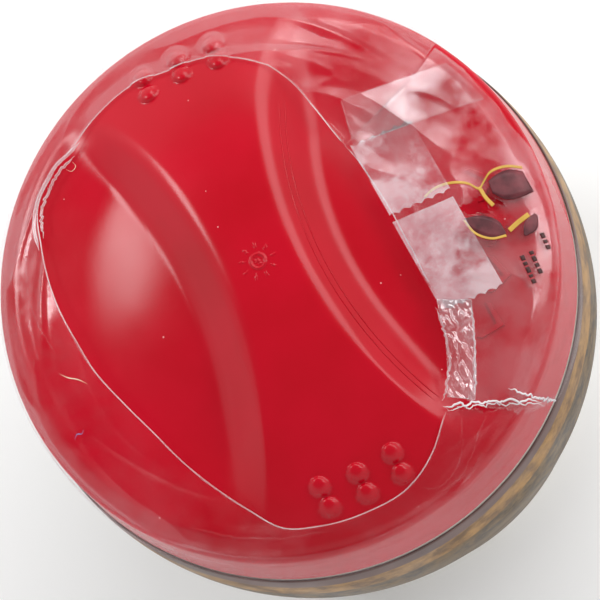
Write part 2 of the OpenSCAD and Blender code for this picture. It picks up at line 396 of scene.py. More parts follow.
def lid_plastic(name, level):
    material, tree, shader = new_material(name)
    cloud = noise_value(tree, 35, 4)
    patchy = span_value(tree, cloud, 0.35, 0.65, 0, 1)
    base = blend_colours(tree, patchy, (0.41, 0.0, 0.008), (0.48, 0.0, 0.013))
    dust = specks(tree, 260, 0.05)
    colour = blend_colours(tree, math_node(tree, "MULTIPLY", dust, 0.55), base, (0.9, 0.45, 0.45))
    tree.links.new(colour, shader.inputs["Base Color"])
    rough = span_value(tree, noise_value(tree, 60, 5), 0.3, 0.7, 0.17, 0.26)
    tree.links.new(rough, shader.inputs["Roughness"])
    shader.inputs["Specular IOR Level"].default_value = level
    peel = noise_value(tree, 900, 2)
    first = add_bump(tree, shader, peel, 0.00002, 0.35)
    scratch = span_value(tree, noise_value(tree, 420, 2, (1, 0.06, 1)), 0.68, 0.72, 0, 1)
    add_bump(tree, shader, scratch, 0.00002, 0.3, first)
    return material


def clear_film(name, haze, roughness=0.07, mirror=0.92, gloss=0.26, ripple=0.0002, most=0.3):
    """Thin clear film: see-through, with the sheen of its two faces and a trace of haze."""
    material, tree, shader = new_material(name)
    cloud = span_value(tree, noise_value(tree, 70, 5, roughness=0.6), 0.35, 0.65, haze[0], haze[1])
    facing = add_node(tree, "ShaderNodeLayerWeight", {"Blend": 0.28}).outputs["Fresnel"]
    cover = math_node(tree, "ADD", cloud, math_node(tree, "MULTIPLY", facing, gloss))
    share = add_node(tree, "ShaderNodeClamp", {0: cover, 2: most}).outputs[0]
    patchy = noise_span(tree, (25, 3), 0.3, 0.7, 0, 1)
    tint = blend_colours(tree, patchy, (0.97, 0.95, 0.96), (0.88, 0.84, 0.88))
    tree.links.new(tint, shader.inputs["Base Color"])
    shader.inputs["Metallic"].default_value = mirror
    rough = span_value(tree, noise_value(tree, 150, 3), 0.3, 0.7, roughness * 0.6, roughness * 1.6)
    tree.links.new(rough, shader.inputs["Roughness"])
    waves = add_bump(tree, shader, noise_value(tree, 90, 4, (1, 1, 1.6)), ripple, 0.4)
    add_bump(tree, shader, noise_value(tree, 22, 2), ripple * 4, 0.35, waves)
    clear = add_node(tree, "ShaderNodeBsdfTransparent", {0: (0.995, 0.99, 0.992, 1)}).outputs[0]
    mixed = add_node(tree, "ShaderNodeMixShader", {0: share, 1: clear, 2: shader.outputs[0]}).outputs[0]
    tree.links.new(mixed, tree.nodes["Material Output"].inputs["Surface"])
    return material


def frosted_tape():
    material, tree, shader = new_material("frosted_tape_plastic")
    cloud = noise_value(tree, 110, 6, roughness=0.7)
    wet = noise_value(tree, 55, 4, roughness=0.55)
    grain = span_value(tree, cloud, 0.42, 0.58, 0.07, 0.18)
    cover = math_node(tree, "ADD", grain, span_value(tree, wet, 0.47, 0.53, -0.04, 0.07))
    tree.links.new(cover, shader.inputs["Alpha"])
    patchy = span_value(tree, cloud, 0.4, 0.6, 0, 1)
    colour = blend_colours(tree, patchy, (0.82, 0.72, 0.78), (0.92, 0.86, 0.9))
    tree.links.new(colour, shader.inputs["Base Color"])
    tree.links.new(span_value(tree, cloud, 0.3, 0.7, 0.4, 0.6), shader.inputs["Roughness"])
    add_bump(tree, shader, noise_value(tree, 1400, 3), 0.00006, 0.5)
    return material


def printed_sleeve():
    """The tub's sleeve: its clear top edge, painted dark grey as the shade under the lid, a tan band, then
    mottled grey-brown print.
    """
    material, tree, shader = new_material("printed_sleeve_film")
    place = add_node(tree, "ShaderNodeTexCoord").outputs["Object"]
    split = add_node(tree, "ShaderNodeSeparateXYZ", {0: place})
    top = box_mm("body_sleeve")[1][2] * MM
    wave = math_node(tree, "MULTIPLY", noise_value(tree, 60, 3), 0.0012)
    skew_x = math_node(tree, "MULTIPLY", split.outputs["X"], 0.020)
    skew = math_node(tree, "ADD", skew_x, math_node(tree, "MULTIPLY", split.outputs["Y"], 0.045))
    below_top = math_node(tree, "SUBTRACT", top, split.outputs["Z"])
    depth = math_node(tree, "SUBTRACT", math_node(tree, "ADD", below_top, skew), wave)
    mottle = span_value(tree, noise_value(tree, 320, 5, roughness=0.7), 0.38, 0.62, 0, 1)
    print_colour = blend_colours(tree, mottle, (0.025, 0.014, 0.006), (0.17, 0.105, 0.04))
    fleck = span_value(tree, noise_value(tree, 90, 4), 0.5, 0.7, 0, 1)
    print_colour = blend_colours(tree, fleck, print_colour, (0.13, 0.08, 0.03))
    tan_grain = noise_span(tree, (170, 5), 0.38, 0.62, 0, 1, roughness=0.65)
    tan = blend_colours(tree, tan_grain, (0.12, 0.055, 0.012), (0.36, 0.19, 0.05))
    # Painted shade: the sleeve's top edge is clear film, but here it is painted opaque dark grey for the
    # shade that falls on it under the lid.
    shade_band_grain = noise_span(tree, (100, 4), 0.3, 0.7, 0, 1)
    grey = blend_colours(tree, shade_band_grain, (0.09, 0.05, 0.045), (0.15, 0.09, 0.08))
    colour = blend_colours(tree, span_value(tree, depth, 0.0016, 0.0020, 0, 1), grey, tan)
    colour = blend_colours(tree, span_value(tree, depth, 0.0098, 0.0102, 0, 1), colour, print_colour)
    tree.links.new(colour, shader.inputs["Base Color"])
    shader.inputs["Specular IOR Level"].default_value = 0.22
    tree.links.new(noise_span(tree, (80, 3), 0.3, 0.7, 0.36, 0.5), shader.inputs["Roughness"])
    add_bump(tree, shader, noise_value(tree, 70, 4, (1, 1, 0.5)), 0.0004, 0.35)
    return material


def simple_plastic(name, first, second, rough, scale=60, bump=0.00002, level=0.25):
    material, tree, shader = new_material(name)
    cloud = noise_value(tree, scale, 4)
    colour = blend_colours(tree, span_value(tree, cloud, 0.3, 0.7, 0, 1), first, second)
    tree.links.new(colour, shader.inputs["Base Color"])
    gloss = noise_span(tree, (scale * 3, 4), 0.3, 0.7, rough * 0.8, rough * 1.2)
    tree.links.new(gloss, shader.inputs["Roughness"])
    shader.inputs["Specular IOR Level"].default_value = level
    add_bump(tree, shader, noise_value(tree, 1200, 3), bump, 0.4)
    return material


def foil_metal():
    material, tree, shader = new_material("foil_metal")
    cloud = noise_value(tree, 120, 5)
    patchy = span_value(tree, cloud, 0.3, 0.7, 0, 1)
    colour = blend_colours(tree, patchy, (0.46, 0.46, 0.48), (0.58, 0.58, 0.6))
    tree.links.new(colour, shader.inputs["Base Color"])
    shader.inputs["Metallic"].default_value = 1.0
    tree.links.new(noise_span(tree, (300, 4), 0.3, 0.7, 0.22, 0.4), shader.inputs["Roughness"])
    add_bump(tree, shader, noise_value(tree, 260, 5), 0.00025, 0.6)
    return material


RED = lid_plastic("red_lid_plastic", 0.27)
RED_SIDE = lid_plastic("red_lid_side", 0.04)
FILM = clear_film("clear_shrink_film", (-0.01, 0.022), 0.15, most=0.15)
FILM_SIDE = clear_film("clear_film_side", (-0.01, 0.02), 0.2, most=0.05)
FLAP = clear_film("printed_film_base", (-0.01, 0.075), 0.14, 0.6, most=0.18)
STRIP = clear_film("crumpled_film", (0.04, 0.2), 0.15, 0.6, 0.6, most=0.5)
CLEAR_TAPE = clear_film("clear_tape_plastic", (0.0, 0.08), 0.1, 0.6, 0.5, most=0.25)
EDGE = clear_film("film_edge", (0.1, 0.3), 0.2, 0.2, 0.5, most=0.5)
TEAR = clear_film("whitened_tear", (0.45, 0.75), 0.35, 0.0, 0.3, most=0.8)
FROSTED = frosted_tape()
SLEEVE = printed_sleeve()
TUB = simple_plastic("tub_plastic", (0.54, 0.5, 0.42), (0.62, 0.58, 0.5), 0.4)
SPOON = simple_plastic("spoon_plastic", (0.44, 0.44, 0.43), (0.52, 0.52, 0.5), 0.3)
FOIL = foil_metal()
INK_DARK = simple_plastic("dark_ink", (0.035, 0.012, 0.012), (0.075, 0.02, 0.02), 0.35, 200)
INK_SHADE = simple_plastic("shaded_ink", (0.05, 0.008, 0.012), (0.2, 0.04, 0.05), 0.4, 260)
LINT = simple_plastic("pale_lint", (0.75, 0.62, 0.45), (0.85, 0.75, 0.6), 0.7, 900)
BLUE = simple_plastic("blue_lint", (0.05, 0.16, 0.4), (0.12, 0.3, 0.6), 0.7, 900)
INK_YELLOW = simple_plastic("yellow_ink", (0.46, 0.26, 0.03), (0.6, 0.36, 0.07), 0.35, 200)


# ---------------------------------------------------------------- lid
def lid_shell():
    radii = np.concatenate([
        np.linspace(0, 5.2, 40), np.linspace(5.5, 38, 90), np.linspace(38.25, 50.5, 50),
        np.linspace(50.8, TOP_R, 9),
    ])[1:]
    steps = 540
    theta = np.linspace(0, 2 * math.pi, steps, endpoint=False)
    rr, tt = np.meshgrid(radii, theta, indexing="ij")
    x, y = rr * np.cos(tt), rr * np.sin(tt)
    bare = lid_top(x, y)
    gate = 0.28 * np.exp(-((rr - GATE_R) / 0.22) ** 2) + 0.2 * np.exp(-(rr / 0.35) ** 2)
    rough = np.zeros_like(rr)
    near = rr < 5.2
    grain = lumps(x[near], y[near], 2.2, 2.2, 3.1)
    fade = smoothstep(GATE_R, 0.6, rr[near]) * 0.16
    rough[near] = grain * fade
    ray = np.clip(np.cos(tt[near] * 9 + 0.7 * grain) - 0.72, 0, 1)
    rough[near] += 0.5 * ray * np.exp(-((rr[near] - 3.1) / 0.55) ** 2)
    outer_top = bare + bump_height(x, y) + gate + rough
    # outer skin, from the crown down to the skirt's lower edge
    rows = [np.stack([x, y, outer_top], axis=-1)]
    m = np.concatenate([
        M_TOP - np.linspace(0, SHOULDER_ARC, 14)[1:], np.linspace(SHOULDER_Z, 0.5, 16)[1:],
    ])
    mm, tt2 = np.meshgrid(m, theta, indexing="ij")
    r2, z2, _ = meridian(tt2, mm)
    rows.append(np.stack([r2 * np.cos(tt2), r2 * np.sin(tt2), z2], axis=-1))
    outline = [
        (LID_R - 0.02, 0.25), (LID_R - 0.2, 0.05), (LID_R - 0.45, 0.0), (LID_R - WALL + 0.3, 0.0),
        (LID_R - WALL + 0.05, 0.15), (LID_R - WALL, 0.5),
        (55.75, 3.7), (54.75, 4.1), (54.55, 4.5), (54.75, 5.0),
        (55.6, 5.5), (55.35, 8.0), (54.7, SHOULDER_Z), (54.4, 16.3), (53.6, 17.2), (53.3, 17.0), (53.3, 14.6),
        (53.1, 14.45), (52.4, 14.45), (52.2, 14.6), (52.2, 17.8),
    ]
    for r, z in outline:
        rows.append(np.stack([r * np.cos(theta), r * np.sin(theta), np.full(steps, z)], axis=-1)[None])
    # inner skin of the top, a wall's thickness below the outer one
    inner = np.stack([x, y, bare], axis=-1)
    du = np.roll(inner, -1, axis=1) - np.roll(inner, 1, axis=1)
    dv = np.gradient(inner, axis=0)
    normal = np.cross(dv, du)
    normal /= np.linalg.norm(normal, axis=2, keepdims=True)
    normal *= np.sign(normal[..., 2:3])
    inner = inner - normal * WALL
    kept = [i for i in range(len(radii)) if radii[i] < 51.0 and (radii[i] > 1.0)]
    rows.append(inner[kept][::-1])
    grid = np.concatenate(rows)
    count = grid.shape[0]
    points = grid.reshape(-1, 3)
    faces = grid_faces(count, steps, wrap=True)
    crown = len(points)
    middle = np.array([[0, 0, outer_top[0].mean() + 0.02], [0, 0, DOME_RISE - WALL]])
    points = np.concatenate([points, middle]) + [0, 0, LID_Z]
    last = (count - 1) * steps
    faces += [(crown, (j + 1) % steps, j) for j in range(steps)]
    faces += [(crown + 1, last + j, last + (j + 1) % steps) for j in range(steps)]
    return make_piece("lid", points, faces, "lid", "lid_plastic", RED, ["lid_shell"], side=RED_SIDE)


def chevrons():
    """Raised chevrons on the recess floor that show where to press."""
    half, line, tip, proud = 3.5, 1.0, 1.4, 0.4
    outline = [
        (-half / 2, -half), (half / 2, 0), (-half / 2, half), (-half / 2 - line, half),
        (half / 2 - line * tip, 0), (-half / 2 - line, -half),
    ]
    n = len(outline)
    points, faces = [], []
    for degrees in (-38, -26, -14, -2):
        turn = Matrix.Rotation(math.radians(degrees), 3, "Z")
        base = len(points)
        flat = [turn @ Vector((45 + px, py, 0)) for px, py in outline]
        centre = sum(flat, Vector()) / n
        for grow, rise in ((1.0, -0.3), (1.0, proud - 0.12), (0.96, proud)):
            for corner in flat:
                x, y, _ = centre + (corner - centre) * grow
                points.append((x, y, float(lid_top(np.array(x), np.array(y))) + rise + LID_Z))
        for ring in (0, 1):
            a = base + ring * n
            faces += [(a + i, a + (i + 1) % n, a + n + (i + 1) % n, a + n + i) for i in range(n)]
        top = base + 2 * n
        faces += [tuple(top + i for i in (0, 1, 4, 5)), tuple(top + i for i in (1, 2, 3, 4))]
        faces += [tuple(base + i for i in (5, 4, 1, 0)), tuple(base + i for i in (4, 3, 2, 1))]
    return make_piece("lid_chevrons", points, faces, "lid", "lid_plastic", RED, smooth=False)


# ---------------------------------------------------------------- films
# Radius of the film's opening round the lid, at angles in degrees
OPENING = [
    (-176, 38.6), (-161, 37.4), (-148, 38.0), (-137, 40.2), (-125, 43.6), (-118, 46.2), (-111, 49.3),
    (-103, 50.0), (-92, 50.2), (-81, 49.8), (-73, 47.8), (-66, 45.2), (66, 40.0), (76, 42.8), (84, 44.6),
    (93, 45.2), (102, 47.0), (114, 47.4), (122, 47.4), (129, 48.2), (138, 48.8), (148, 45.8), (162, 42.3),
    (176, 39.4),
]
# Inner edge of the part that crosses the marked recess
RIGHT_EDGE = [
    (-62, 41.0), (-51, 37.2), (-40, 34.4), (-34, 32.8), (-19, 28.2), (-2, 26.2), (14, 26.0), (29, 27.2),
    (42, 29.8), (51, 33.0), (58, 36.4), (66, 40.0),
]
# Inner edge of the torn part
FLAP_INNER = [
    (-62, 46.5), (-55, 45.5), (-45, 41.0), (-39, 36.5), (-34, 33.2), (-19, 28.4), (-2, 26.3), (14, 26.1),
    (32, 27.6),
]


def crinkle(theta, m, seed, along=24.0, across=4.0):
    """Long low wrinkles that run round the lid, from 0 to 1."""
    flat = [
        noise.noise(Vector((math.cos(a) * 57 / along, math.sin(a) * 57 / along, b / across + seed)))
        for a, b in zip(theta.ravel(), m.ravel())
    ]
    ridged = 1.0 - 2.0 * np.abs(np.array(flat))
    return np.clip(ridged.reshape(theta.shape), 0.0, 1.0) ** 2


def flap_waves(theta, m):
    """Low wrinkles of the torn part of the film."""
    return crinkle(theta, m, 12.0, 26.0, 14.0) * 0.35 + crinkle(theta, m, 17.0, 60.0, 22.0) * 0.3


def opening_radius(degrees):
    """Radius of the film's opening, which crosses the marked recess between two angles."""
    wrapped = (degrees + 180) % 360 - 180
    crossing = (wrapped > -30) & (wrapped < 66)
    return np.where(crossing, curve_through(RIGHT_EDGE, wrapped), curve_through(OPENING, wrapped, 360))


def main_film():
    """The clear film round the lid, from one side of its tear round to the other."""
    columns, rows = 720, 90
    u, v = np.meshgrid(np.linspace(0, 1, columns), np.linspace(0, 1, rows))
    jag = wobble(v[:, 0], 55, 0.3, 9.0)[:, None]
    tear = curve_through([(0, -46), (0.35, -50), (0.55, -53), (0.8, -58.5), (1, -63)], v)
    start = np.radians(tear + 1.6 * jag)
    end = np.radians(curve_through([(0, 33 - 360), (0.4, 31 - 360), (0.6, 29.5 - 360), (1, 32 - 360)], v))
    theta = start + u * (end - start)
    open_r = opening_radius(np.degrees(theta))
    low = 0.25
    m = low + v * (m_at(open_r) - low)
    waves = crinkle(theta, m, 2.0, 34.0, 5.0) * 0.3 + crinkle(theta, m, 7.0, 90.0, 9.0) * 0.25
    lift = FILM_GAP + waves * smoothstep(0.0, 0.05, v)
    sheet = thin_sheet(film_point(theta, m, lift), rows, columns, FILM_T)
    return make_piece("clear_lid_film", *sheet, "lid", "clear_film", FILM, ["lid_film"], side=FILM_SIDE)


def flap_film():
    """The torn part of the film that crosses the marked recess."""
    columns, rows = 220, 110
    u, v = np.meshgrid(np.linspace(0, 1, columns), np.linspace(0, 1, rows))
    jag = wobble(v[:, 0], 60, 4.3, 2.0)[:, None]
    start = np.radians(curve_through([(0, -46.5), (0.3, -50), (0.55, -53), (1, -58)], v) + 1.2 * jag)
    end = np.radians(curve_through([(0, 30.5), (0.3, 29.8), (0.6, 30.2), (1, 32.4)], v))
    theta = start + u * (end - start)
    degrees = np.degrees(theta)
    inner = curve_through(FLAP_INNER, degrees)
    outer = curve_through(
        [(-60, 0.3), (-22, 0.3), (-14, 3.0), (-6, 13.5), (2, 18.0), (18, 19.2), (32, 18.6)], degrees)
    ragged = wobble(theta[0], 14, 1.7, 0.4)
    outer = outer + 0.5 * ragged * smoothstep(-20, -10, degrees)
    m = outer + v * (m_at(inner) - outer)
    waves = flap_waves(theta, m)
    points = film_point(theta, m, FILM_GAP + waves)
    x, y = points[..., 0], points[..., 1]
    hole = np.hypot((x - 42.0) / 4.6, (y + 6.2) / 1.7) + 0.9 * lumps(x, y, 0.55, 0.8, 6.0) < 0.9
    open_quads = (hole[:-1, :-1] & hole[1:, 1:]).ravel()
    sheet = thin_sheet(points, rows, columns, FILM_T, keep=~open_quads)
    return make_piece("torn_film_flap", *sheet, "lid", "clear_film", FLAP, ["film_flap"], side=FILM_SIDE)


# ---------------------------------------------------------------- film pieces on the flap
def flap_height(x, y):
    """Height of the flap's upper side over the recess."""
    r = np.hypot(x, y)
    theta = np.arctan2(y, x)
    m = m_at(r)
    waves = flap_waves(theta, m)
    return film_point(theta, m, FILM_GAP + waves)[..., 2]


def patch(name, corner, along, across, rise, material, node, slot, teeth=(0, 0), buckle=0.0, seed=1.0):
    """A strip of tape from a corner, along one direction and across another, laid over the flap."""
    columns, rows = 120, 60
    u, v = np.meshgrid(np.linspace(0, 1, columns), np.linspace(0, 1, rows))
    first = TOOTH_DEPTH * np.abs(np.sin(v * math.pi * 5.5)) * teeth[0]
    last = TOOTH_DEPTH * np.abs(np.sin(v * math.pi * 5.5 + 0.6)) * teeth[1]
    length = math.hypot(*along)
    way = np.array(along) / length
    start = np.array(corner) + v[..., None] * np.array(across)
    middle = -(start @ way)
    limit = middle + np.sqrt(middle ** 2 - (start ** 2).sum(axis=-1) + TAPE_END_R ** 2)
    last = np.maximum(last, length - limit)
    s = (first + u * (length - first - last)) / length
    x = corner[0] + s * along[0] + v * across[0]
    y = corner[1] + s * along[1] + v * across[1]
    z = flap_height(x, y) + rise
    if buckle:
        z = z + buckle * np.abs(lumps(x, y, 0.25, 0.25, seed))
    points = np.stack([x, y, z], axis=-1)
    return make_piece(name, *thin_sheet(points, rows, columns, TAPE_T), "lid", slot, material, [node])


def tapes():
    """The clear piece, then the two frosted ones, whose short ends have teeth."""
    patch(
        "clear_tape_piece", (25.2, 14.2), (27.0, -0.6), (1.2, 9.8), 0.25, CLEAR_TAPE,
        "clear_tape", "clear_tape")
    patch(
        "frosted_tape_piece_lower", (26.0, -3.2), (1.6, -19.6), (12.4, 0.4), 0.25, FROSTED,
        "frosted_tape_lower", "frosted_tape", (0, 1), 0.4)
    patch(
        "frosted_tape_piece_upper", (24.6, 14.4), (1.5, -16.6), (12.5, 0.6), 0.45, FROSTED,
        "frosted_tape_upper", "frosted_tape", (1, 1), 0.4, 3.0)


def crumpled_strip():
    """A narrow strip of film that has crumpled beside the tear."""
    columns, rows = 90, 30
    u, v = np.meshgrid(np.linspace(0, 1, columns), np.linspace(0, 1, rows))
    down = -20.0 - 17.5 * u
    left = curve_through([(-37.5, 21.5), (-33, 23.6), (-28, 25.6), (-20, 27.4)], down)
    right = curve_through([(-37.5, 26.0), (-33, 28.4), (-28, 30.4), (-20, 33.4)], down)
    x = left + (right - left) * v
    y = down - 2.5 * v
    crumple = np.abs(lumps(x, y, 0.55, 0.3, 5.0)) + 0.5 * np.abs(lumps(x, y, 1.1, 0.8, 8.0))
    z = np.maximum(flap_height(x, y), lid_top(x, y) + LID_Z + 0.5) + 0.15 + 1.1 * crumple
    sheet = thin_sheet(np.stack([x, y, z], axis=-1), rows, columns, STRIP_T)
    return make_piece("crumpled_film_strip", *sheet, "lid", "clear_film", STRIP, ["loose_film_strip"])


# ---------------------------------------------------------------- edges, print and small marks
def resample(path, count):
    """Evenly spaced points of a smooth plan path."""
    path = np.asarray(path, float)
    reach = np.concatenate([[0], np.cumsum(np.hypot(*np.diff(path, axis=0).T))])
    at = np.linspace(0, reach[-1], count)
    return curve_through(list(zip(reach, path[:, 0])), at), curve_through(list(zip(reach, path[:, 1])), at)


def film_height(x, y, lift):
    """Height of a film over a place on the lid's top."""
    r = np.hypot(x, y)
    return film_point(np.arctan2(y, x), m_at(r), lift)[..., 2]


def tube(name, path, radius, material, slot, sides=10):
    """A closed thin bead along a path of points, tapering at both ends."""
    path = np.asarray(path, float)
    along = np.gradient(path, axis=0)
    along /= np.linalg.norm(along, axis=1, keepdims=True)
    side = np.cross(along, [0.0, 0.0, 1.0])
    side /= np.maximum(np.linalg.norm(side, axis=1, keepdims=True), 1e-6)
    rise = np.cross(side, along)
    n = len(path)
    end = np.minimum(np.arange(n), np.arange(n)[::-1]) / 5.0
    size = (radius * np.clip(end, 0.15, 1.0))[:, None, None]
    turn = np.linspace(0, 2 * math.pi, sides, endpoint=False)
    ring = np.cos(turn)[None, :, None] * side[:, None, :] + np.sin(turn)[None, :, None] * rise[:, None, :]
    points = (path[:, None, :] + ring * size).reshape(-1, 3)
    faces = grid_faces(n, sides, wrap=True)
    faces += [tuple(range(sides))[::-1], tuple((n - 1) * sides + j for j in range(sides))]
    return make_piece(name, points, faces, "lid", slot, material)


def bead(name, points, radius, material=None, rise=0.0, wander=0.0, seed=1.0):
    """A bead that follows the film's surface along a plan path."""
    length = np.hypot(*np.diff(np.asarray(points, float), axis=0).T).sum()
    x, y = resample(points, max(int(length / 0.4), 6))
    if wander:
        x = x + wander * wobble(range(len(x)), 0.9, seed, 0.5)
        y = y + wander * wobble(range(len(y)), 0.9, seed, 7.5)
    z = film_height(x, y, FILM_GAP + 0.15) + rise
    return tube(name, np.stack([x, y, z], axis=-1), radius, material or EDGE, "clear_film")


def decal(name, rows, material, columns=24, cells=6, proud=0.3):
    """A thin printed shape between two plan paths, laid on the film."""
    (x0, y0), (x1, y1) = [resample(path, columns) for path in rows]
    v = np.linspace(0, 1, cells)[:, None]
    x, y = x0 + (x1 - x0) * v, y0 + (y1 - y0) * v
    z = flap_height(x, y) + proud
    points = np.stack([x, y, z], axis=-1)
    return make_piece(name, *thin_sheet(points, cells, columns, INK_T), "lid", "printed_film", material)


def opening_edge():
    """The rounded cut edge of the film round the opening, and its curled stretch."""
    for name, first, last in (("film_edge_left", 130.0, 296.0), ("film_edge_top", 34.0, 128.0)):
        degrees = np.linspace(first, last, 420)
        theta = np.radians(degrees)
        path = film_point(theta, m_at(opening_radius(degrees)), FILM_GAP + 0.2)
        tube(name, path, 0.12, EDGE, "clear_film")
    degrees = np.linspace(-31.0, 30.0, 160)
    path = film_point(np.radians(degrees), m_at(curve_through(FLAP_INNER, degrees)), FILM_GAP + 0.3)
    tube("film_edge_flap", path, 0.12, EDGE, "clear_film")
    bead("film_edge_curl", [
        (-39.8, 24), (-39.0, 29), (-36.4, 33.6), (-33, 36.6), (-30, 38.6), (-27, 39.4), (-24, 40.4),
    ], 0.36, rise=0.2)
    bead("film_edge_curl_inner", [
        (-38.2, 26), (-36, 31.6), (-32.6, 35.2), (-29, 37.4), (-26, 38.2)], 0.28, rise=0.1, wander=0.5)


def flank_lines():
    """Two fine mould lines along the flank beside the marked recess."""
    y = np.linspace(-37.0, 29.0, 160)
    for name, radius in (("mould_line_inner", 81.8), ("mould_line_outer", 80.8)):
        x = FLANK_CX - np.sqrt(radius ** 2 - y ** 2)
        path = np.stack([x, y, lid_top(x, y) + LID_Z], axis=-1)
        tube(name, path, 0.14, RED, "lid_plastic")


def torn_edges():
    """Whitened ragged edges along the tear."""
    path = [
        (20, -38.7), (21.4, -39.4), (22.6, -39.2), (24, -40.2), (25.6, -40.0), (27, -41.0), (28.2, -40.9),
        (30, -42.0), (31.8, -42.0), (33, -43.1), (34.8, -43.2), (36.6, -44.3),
    ]
    bead("tear_upper", path, 0.2, TEAR, 0.2, 0.35, 2.0)
    bead("tear_lower", [(x + 0.4, y - 0.7) for x, y in path], 0.12, TEAR, 0.1, 0.5, 5.0)
    bead("strip_edge", [(26.6, -21.5), (26.2, -27), (24.3, -32.5), (20.6, -38)], 0.22, EDGE, 0.8, 0.4, 3.0)
    bead("strip_edge_outer", [(33, -23.5), (31, -29), (28.8, -34), (26.4, -39)], 0.2, EDGE, 0.8, 0.4, 4.0)
    theta = np.radians(np.linspace(-51, -47.5, 60))
    m = np.linspace(M_TOP + 2.0, 1.2, 60)
    skirt = film_point(theta + 0.012 * wobble(range(60), 0.45, 8.0, 2.2), m, FILM_GAP + 0.35)
    tube("tear_skirt", skirt, 0.18, TEAR, "clear_film")


def fold_creases():
    """Creases in the film near the opening's lower end and along its left side."""
    loops = [
        [(9, -50.2), (12.5, -51.6), (16.5, -50.4), (19.5, -47.4), (21.5, -44.2)],
        [(12, -52.6), (17, -51.6), (21.5, -48.2), (25, -44.6), (27, -43.2)],
        [(17, -46.6), (19.5, -46.0), (21.6, -43.6), (22.4, -41.2)],
        [(-34, -38.6), (-27.5, -43.6), (-19, -47.8), (-9, -50.9)],
        [(-51.2, 8), (-49.4, 17), (-45.6, 25.4), (-42.5, 30)],
        [(-44.6, 3), (-45.8, 12), (-44.4, 20.5), (-41.4, 27)],
    ]
    for i, points in enumerate(loops):
        bead("film_crease_%d" % (i + 1), points, 0.11, FILM, 0.12, 0.25, 3.0 * i)


def print_marks():
    """Plain printed shapes on the torn part: a line, shaded shapes with rims, a bar and rows of dashes."""
    line = [
        (33.5, -0.6), (35.6, 0.2), (39, 0.1), (42, -1.2), (43.6, -2.9), (44.8, -2.0), (46.6, -0.7),
        (49.6, -0.6), (52.6, -1.9),
    ]
    leaf_foot = [(38.6, -8.0), (39.4, -10.8), (41.8, -12.9), (44.4, -13.3)]
    decal("print_band", (line, [(x - 0.1, y - 0.5) for x, y in line]), INK_YELLOW, 60)
    shapes = [
        ("print_shade", INK_SHADE, [(45.6, -2.4), (47.4, -1.8), (50, -1.7), (52.3, -2.9)],
         [(45.4, -5.0), (47.2, -7.0), (50, -7.6), (52.6, -7.4)]),
        ("print_rim", INK_YELLOW, [(43.3, -3.4), (43.5, -5.2), (44.2, -7.4)],
         [(44.0, -3.3), (44.2, -5.0), (44.9, -7.1)]),
        ("print_leaf_left", INK_SHADE, [(38.6, -7.6), (41.6, -8.2), (44.2, -10.4), (44.6, -13)], leaf_foot),
        ("print_leaf_edge", INK_YELLOW, [(38.2, -7.9), (39.0, -11.0), (41.6, -13.3), (44.4, -13.8)],
         leaf_foot),
        ("print_leaf_right", INK_SHADE, [(47.4, -14.6), (48.6, -12.4), (51, -11.4)],
         [(47.6, -15.0), (50.0, -14.6), (51.4, -12.2)]),
        ("print_bar", INK_YELLOW, [(45.2, -12.4), (47.2, -11.6), (49.8, -10.8)],
         [(45.4, -13.3), (47.4, -12.5), (50.0, -11.7)]),
    ]
    for name, ink, first, second in shapes:
        decal(name, (first, second), ink)
    dash_w, lean, gap = 0.8, 0.03, 0.35
    rows = [
        (45.0, -18.2, (1.0, 0.7, 1.2, 0.6, 0.9)),
        (46.9, -18.0, (0.7, 1.1, 0.8, 1.0)),
        (50.2, -15.4, (1.1, 0.7, 0.9)),
    ]
    number = 0
    for x, y, lengths in rows:
        for long in lengths:
            number += 1
            first = [(x, y), (x + lean, y - long)]
            second = [(x + dash_w, y - 0.02), (x + dash_w + lean, y - long - 0.02)]
            decal("print_dash_%d" % number, (first, second), INK_DARK, 5, 4)
            y -= long + gap


def small_marks():
    """Two fibres and a curl of lint lying on the film."""
    bead("lint_fibre", [(-45.5, -0.5), (-44, -2.2), (-42.6, -3.2), (-41, -5)], 0.09, LINT, 0.2)
    bead("blue_fibre", [(-48, -13.3), (-47, -12.6), (-46.2, -13.1), (-45.5, -12.5)], 0.16, BLUE, 0.2)
    bead("curled_fibre", [(-28.5, 36.4), (-27.5, 35.4), (-26.4, 36.0), (-26.8, 37.2)], 0.08, LINT, 0.6)


# ---------------------------------------------------------------- tub, sleeve, foil and spoon
TUB_R = box_mm("tub")[1][0]
BULGE_Z, BULGE_R, TAPER = 72.0, 118.0, 10.0
LEDGE_Z = LID_Z - 0.6
RIM_Z = box_mm("tub")[1][2]
NECK_R = 53.2


def wall_points(grow, low, high, steps=26):
    """The side wall as (r, z) points from a low height to a high one, grown by a little."""
    cx, r = TUB_R - BULGE_R, BULGE_R + grow
    start_x = cx + r * math.cos(math.radians(TAPER))
    start_z = BULGE_Z - r * math.sin(math.radians(TAPER))
    end = math.degrees(math.asin((high - BULGE_Z) / r))
    slope = math.tan(math.radians(TAPER))
    straight = [(start_x - (start_z - z) * slope, z) for z in np.linspace(low, start_z, 12)[:-1]]
    return straight + arc(cx, BULGE_Z, r, -TAPER, end, steps)


